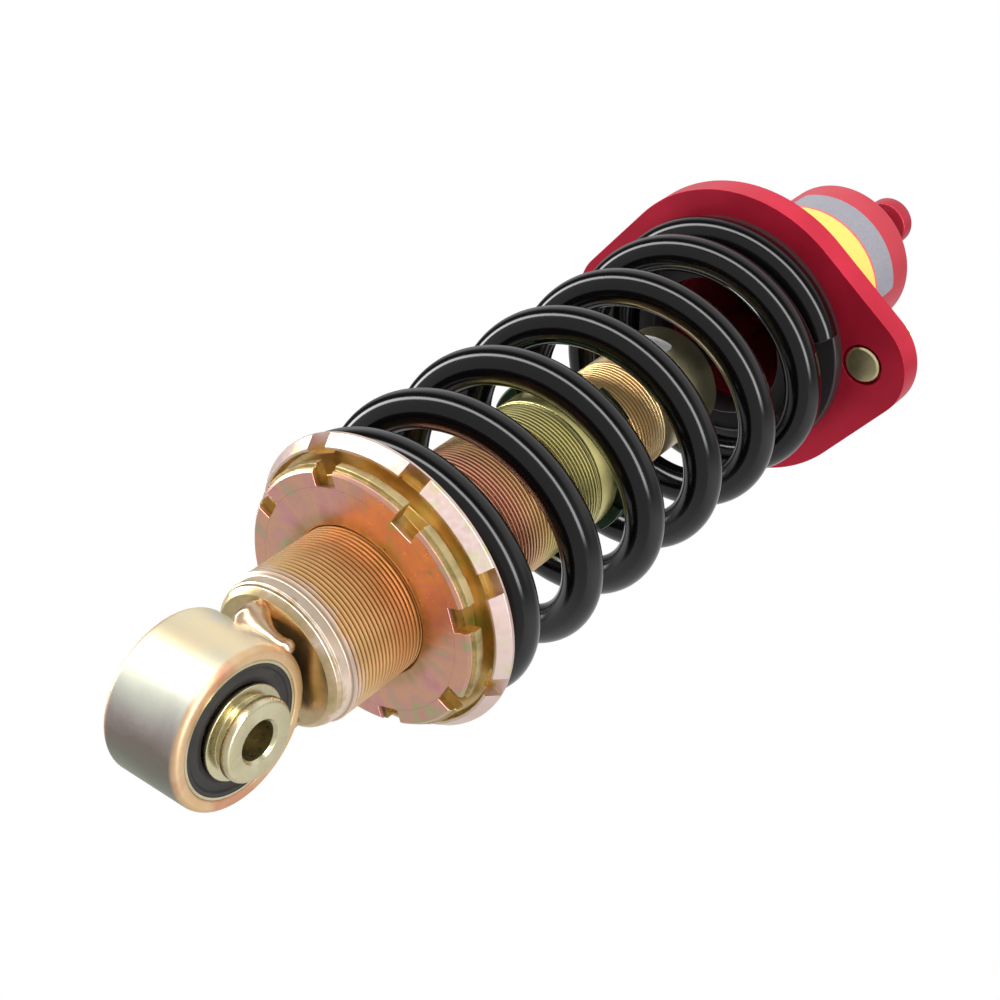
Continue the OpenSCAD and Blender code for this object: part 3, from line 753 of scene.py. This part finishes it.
def wire_ring(n, r, sides):
    """Points round the wire after n turns, square to its run and cut off at the two ground faces."""
    w = math.radians(PHASE + 360 * n)
    step = 0.002
    slope = (wire_height(n + step) - wire_height(n - step)) / (2 * step * 2 * math.pi * COIL_R)
    out = Vector((math.cos(w), math.sin(w), 0))
    run = Vector((-math.sin(w), math.cos(w), slope)).normalized()
    up = out.cross(run)
    centre = out * COIL_R + Vector((0, 0, wire_height(n)))
    ring = []
    for k in range(sides):
        b = 2 * math.pi * k / sides
        point = centre + out * (r * math.cos(b)) + up * (r * math.sin(b))
        point.z = min(max(point.z, COIL_LOW), COIL_HIGH)
        ring.append(point)
    return ring


def wire_cap(end, sign, sides, round_off=0.7, steps=4):
    """Rings that round off one end of the wire and close it at a point."""
    share = round_off / (2 * math.pi * COIL_R)
    cap = []
    for k in range(1, steps + 1):
        w = math.radians(90 * k / steps)
        cap.append(wire_ring(end + sign * share * math.sin(w), WIRE_R - round_off * (1 - math.cos(w)), sides))
    centre = sum(cap[-1], Vector()) / sides
    return cap + [[centre] * sides]


def spring_coil():
    per_turn, sides = 110, 40
    count = round((LAST - FIRST) * per_turn)
    rows = [wire_ring(FIRST + (LAST - FIRST) * i / count, WIRE_R, sides) for i in range(count + 1)]
    rows = list(reversed(wire_cap(FIRST, -1, sides))) + rows + wire_cap(LAST, 1, sides)
    bm = bmesh.new()
    add_rows(bm, rows)
    spring = finish_piece("spring_coil", bm, "spring", spring_black, ["coil_spring"],
                          sharp=40)
    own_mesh(spring)


# ---------------------------------------------------------------- weld

def weld_bead(name, side, seed, replaces=()):
    """A bead along one side of the eye: a round swirled pool, then a slender tail."""
    count, around = 130, 48
    start, end = -9.6, 13.0
    pool_x, pool_reach = -2.4, 4.6
    tail_size, pool_size = 3.0, 3.8
    rows = []
    for i in range(count + 1):
        x = start + (end - start) * i / count
        pool = math.exp(-((x - pool_x) / pool_reach) ** 2)
        size = tail_size + pool_size * pool
        for left, reach in ((x - start, 5.0), (end - x, 2.6)):
            share = min(1, max(0, left / reach))
            size *= math.sqrt(share * (2 - share))
        y = side * (13.6 + 3.7 * pool + 0.2 * math.sin(x * 0.5 + seed))
        z = 22.0 - 0.4 * pool
        row = []
        for k in range(around):
            w = 2 * math.pi * k / around
            away = Vector((0, math.cos(w), math.sin(w)))
            point = Vector((x, y, z)) + size * Vector((0, 0.8 * away.y, 0.92 * away.z))
            swirl = math.cos(2 * math.pi * math.hypot(x - pool_x + 1.5, 0.7 * (point.z - z)) / 2.4)
            lump = 0.13 * pool * swirl + 0.35 * noise.noise(point * 0.16 + Vector((seed, 0, 0)))
            point += away * min(1, size / tail_size) * lump
            point.z = min(point.z, SLEEVE_LOW + 0.9)
            row.append(point)
        rows.append(row)
    bm = bmesh.new()
    add_rows(bm, rows)
    bmesh.ops.transform(bm, matrix=LEAN, verts=bm.verts)
    finish_piece(name, bm, "lower_bracket", weld_zinc, replaces, sharp=None)


# ---------------------------------------------------------------- top mount

def flange_outline():
    """Corners of the flange: a round body, a lobe at each stud and straight tangents between."""
    lean = math.acos((FLANGE_R - LOBE_R) / LOBE_AT)
    arcs = ((LOBE_AT, LOBE_R, -lean, lean, 40), (0, FLANGE_R, lean, math.pi - lean, 64),
            (-LOBE_AT, LOBE_R, math.pi - lean, math.pi + lean, 40),
            (0, FLANGE_R, math.pi + lean, 2 * math.pi - lean, 64))
    points = []
    for centre, r, first, last, steps in arcs:
        for k in range(steps + 1):
            w = first + (last - first) * k / steps
            points.append((centre + r * math.cos(w), r * math.sin(w)))
    return points


def flange():
    """Flange with a stepped bore for the tower and a counterbored hole for each stud."""
    low, high = FLANGE_LOW, FLANGE_HIGH
    clear = 15  # how far a cutter goes past the face that it enters
    bm = bmesh.new()
    add_rows(bm, [[(x, y, z) for x, y in flange_outline()] for z in (low, high)])
    bmesh.ops.remove_doubles(bm, verts=bm.verts, dist=MERGE)
    bmesh.ops.holes_fill(bm, edges=[e for e in bm.edges if e.is_boundary])
    cutter = bmesh.new()
    add_cylinder(cutter, TOWER_BORE, low - clear, low + clear, 0, 128)
    add_cylinder(cutter, TOWER_NECK, TOWER_LOW, high + clear, 0, 128)
    for x in (-STUD_AT, STUD_AT):
        add_cylinder(cutter, COUNTERBORE_R, low - clear, low + COUNTERBORE, x, 80)
        add_cylinder(cutter, SHANK_R, low - clear, low + clear, x, 64)
    bm = cut_and_bevel(bm, cutter, 0.55, 4, 50)
    plate = finish_piece("flange", bm, "top_mount", flange_red, ["mount_flange"])
    keep_faces_flat(plate)


def studs():
    """Two pressed studs: a head in the counterbore, a shank in the flange and a thread above it."""
    low, face, n = FLANGE_LOW, FLANGE_HIGH, 64
    first, last = face + 0.6, face + 18
    bm = bmesh.new()
    for x in (-STUD_AT, STUD_AT):
        part = lathe([(0, low - 0.3, 0), (6.0, low - 0.3, 0.3), (HEAD_R, low + 0.4, 0.3),
                      (HEAD_R, low + COUNTERBORE, 0), (SHANK_R, low + COUNTERBORE, 0), (SHANK_R, face, 0)],
                     n, 3, closed=False)
        add_thread(part, first, last, STUD_R, depth=0.6, n=n, phase=0, fade_in=1.0, fade_out=1.0)
        add_profile(part, [(SHANK_R, face, 0), (STUD_R, first, 0)], n)
        add_profile(part, [(STUD_R, last, 0), (STUD_R - 1, last + 1, 0), (0, last + 1, 0)], n)
        bmesh.ops.translate(part, vec=(x, 0, 0), verts=part.verts)
        add_part(bm, part)
    finish_piece("studs", bm, "top_mount", stud_zinc, ["mount_studs"])


def spring_seat():
    """Seat with a spigot inside the coil and a flat rim above it."""
    low, high = low_high("upper_spring_seat")
    bore, spigot, rim = 26.5, 35.1, 45.8
    profile = [(bore, low, 0.5), (33.2, low, 0.6), (spigot, low + 1.6, 0.6), (spigot, low + 8, 0.3),
               (rim, low + 8, 0.8), (rim, high, 0.3), (bore, high, 0.2)]
    finish_piece("spring_seat", lathe(profile), "top_mount", seat_black, ["upper_spring_seat"])


def tower():
    """Cup with a neck in the flange, a closed end and a hole for the knob's stem."""
    low, high = TOWER_LOW, TOWER_HIGH
    hole, inside = 9.0, high - 6
    profile = [(TOWER_BORE, low, 0.1), (TOWER_NECK, low, 0.1), (TOWER_NECK, FLANGE_HIGH, 0),
               (TOWER_R, FLANGE_HIGH, 0), (TOWER_R, high, 1.6), (hole, high, 0.5), (hole, inside, 0.5),
               (TOWER_BORE, inside, 3.0)]
    finish_piece("tower", lathe(profile, 192, 5), "top_mount", tower_red, ["mount_tower"])


def knob():
    """Round knob with a stem and a blind bore for its needle."""
    low, high = low_high("adjuster_knob")
    bore, stem, head, under = 2.95, 4.3, 9.7, high - 7.8
    profile = [(bore, low, 0), (stem, low, 0.3), (stem, high - 9.2, 0.8), (5.2, under, 0.2),
               (head, under, 0.9), (head, high - 0.6, 1.6), (5.5, high, 1.2), (0, high, 0), (0, low + 5.8, 0),
               (bore, low + 5.8, 0)]
    finish_piece("knob", lathe(profile, 96, 5), "adjuster", knob_red, ["adjuster_knob"])


eye_ring()
eye_rubber()
eye_bolt_sleeve()
threaded_sleeve()
monotube()
lock_ring()
perch()
tube_lock_ring()
spring_coil()
weld_bead("weld_front", -1, 0.0, ["eye_weld"])
weld_bead("weld_back", 1, 3.1)
flange()
studs()
spring_seat()
tower()
knob()


# ---------------------------------------------------------------- stickers

STICKER = 0.09  # thickness


def sticker(name, r, z0, z1, a0, a1, corner, body, paint):
    """A thin sheet wrapped on a cylinder between two angles, with rounded corners."""
    bm = bmesh.new()
    steps_a, steps_z = 60, 16
    grid = {}
    width, height = math.radians(a1 - a0) * r, z1 - z0
    for i in range(steps_a + 1):
        for j in range(steps_z + 1):
            u, v = width * i / steps_a, height * j / steps_z
            du, dv = max(corner - min(u, width - u), 0), max(corner - min(v, height - v), 0)
            reach = math.hypot(du, dv)
            if reach > corner:
                pull = corner / reach
                u = (corner - du * pull) if u < width / 2 else (width - corner + du * pull)
                v = (corner - dv * pull) if v < height / 2 else (height - corner + dv * pull)
            w = math.radians(a0) + u / r
            grid[i, j] = [bm.verts.new((q * math.cos(w), q * math.sin(w), z0 + v)) for q in (r, r + STICKER)]
    for layer in (0, 1):
        for i in range(steps_a):
            for j in range(steps_z):
                bm.faces.new([grid[p][layer] for p in ((i, j), (i + 1, j), (i + 1, j + 1), (i, j + 1))])
    rim = ([(i, 0) for i in range(steps_a)] + [(steps_a, j) for j in range(steps_z)]
           + [(i, steps_z) for i in range(steps_a, 0, -1)] + [(0, j) for j in range(steps_z, 0, -1)])
    for p, q in zip(rim, rim[1:] + rim[:1]):
        bm.faces.new((grid[p][0], grid[q][0], grid[q][1], grid[p][1]))
    finish_piece(name, bm, body, paint, sharp=40)


def tower_print():
    """Yellow print below and grey above, with a thin red line between."""
    p = Paint("tower_print", Specular_IOR_Level=0.5)
    z = p.split_place()["Z"]
    speck = p.noise(p.place(), 900.0, 3.0)
    colour = p.mix(p.band(z, 325.4 * MM, 326.1 * MM), srgb(226, 182, 52), srgb(112, 110, 120))
    red_line = p.times(p.band(z, 324.9 * MM, 325.1 * MM), p.band(z, 326.2 * MM, 326.0 * MM))
    colour = p.mix(red_line, colour, srgb(200, 30, 40))
    return sticker_film(p, p.mix(p.times(speck, 0.15), colour, (0.9, 0.9, 0.9)), speck)


def tube_print():
    """Plain pale label."""
    p = Paint("tube_print", Specular_IOR_Level=0.5)
    speck = p.noise(p.place(), 700.0, 3.0)
    pale = p.ramp(speck, [(0.3, (0.78, 0.78, 0.76)), (0.7, (0.9, 0.9, 0.89))])
    return sticker_film(p, pale, speck)


sticker("tower_label", TOWER_R, FLANGE_HIGH + 2, 338.7, -110, 7, 1.5, "top_mount",
        tower_print())
sticker("tube_label", TUBE_R, 207.0, 219.8, -112, -65, 2.0, "damper_body",
        tube_print())

# ---------------------------------------------------------------- camera

UP = Vector((0.0976, -0.9951, 0.0027))
LOOK = Vector((-0.56557, 0.51065, 0.64759)).normalized()
EYE_POINT = Vector((0.34243, -0.30876, -0.26060))

right = LOOK.cross(UP).normalized()
camera = bpy.data.objects.new("camera", bpy.data.cameras.new("camera"))
turned = Matrix((right, right.cross(LOOK), -LOOK)).transposed().to_4x4()
camera.matrix_world = Matrix.Translation(EYE_POINT) @ turned
camera.data.lens = 67.69
camera.data.sensor_width = 36
camera.data.clip_start = 0.01
bpy.context.scene.collection.objects.link(camera)
bpy.context.scene.camera = camera

# ---------------------------------------------------------------- light and backdrop
# The studio is all in the world: a pale table below, a long soft strip overhead across the damper,
# and soft fill. The camera itself sees plain white behind the part.

AMBIENT, TABLE, STRIP, BACK, FRONT, SIDE = 0.04, 0.7, 11.0, 1.0, 0.1, 0.4

world = bpy.data.worlds.new("studio")
bpy.context.scene.world = world
world.use_nodes = True
sky = Nodes(world.node_tree)
sky.tree.nodes.clear()
direction = sky.add("TexCoord").outputs["Generated"]


def toward(target):
    """How far a direction points toward a target: 1 straight at it, -1 straight away."""
    inputs = {0: direction, 1: Vector(target).normalized()}
    return sky.add("VectorMath", inputs, operation="DOT_PRODUCT").outputs["Value"]


height, along = toward(UP), toward((0, 0, 1))
light = sky.plus(
    AMBIENT,
    sky.band(height, -0.2, -0.6, TABLE),
    sky.times(sky.times(sky.band(along, -0.3, -0.2), sky.band(along, 0.01, -0.09)),
              sky.band(height, -0.4, -0.05, STRIP)),
    sky.times(sky.band(along, 0.25, 0.65), sky.band(height, -0.5, 0.2, BACK)),
    sky.band(toward(-LOOK), 0.75, 0.97, FRONT),
    sky.band(toward((0.9, 0.3, -0.1)), 0.5, 0.95, SIDE))
surround = sky.add("Background", {0: sky.join(light, light, light), 1: 1.0}).outputs[0]
backdrop = sky.add("Background", {0: (1, 1, 1), 1: 1.0}).outputs[0]
seen = sky.add("LightPath").outputs["Is Camera Ray"]
mixed = sky.add("MixShader", {0: seen, 1: surround, 2: backdrop}).outputs[0]
sky.add("OutputWorld", {0: mixed})

# ---------------------------------------------------------------- floor

FLOOR_HALF, FLOOR_Z = 3.0, -1.0  # metres

p = Paint("pale_floor", Roughness=0.8)
p.set(Base_Color=p.ramp(p.noise(p.place(), 40.0, 3.0), [(0.3, (0.86, 0.86, 0.86)), (0.7, (0.9, 0.9, 0.9))]))
floor_mesh = bpy.data.meshes.new("floor")
corners = [(x * FLOOR_HALF, y * FLOOR_HALF, FLOOR_Z) for x, y in ((-1, -1), (1, -1), (1, 1), (-1, 1))]
floor_mesh.from_pydata(corners, [], [(0, 1, 2, 3)])
floor_mesh.materials.append(p.material)
floor = bpy.data.objects.new("floor", floor_mesh)
bpy.context.scene.collection.objects.link(floor)

view = bpy.context.scene.view_settings
view.view_transform = "Standard"
view.look = "None"
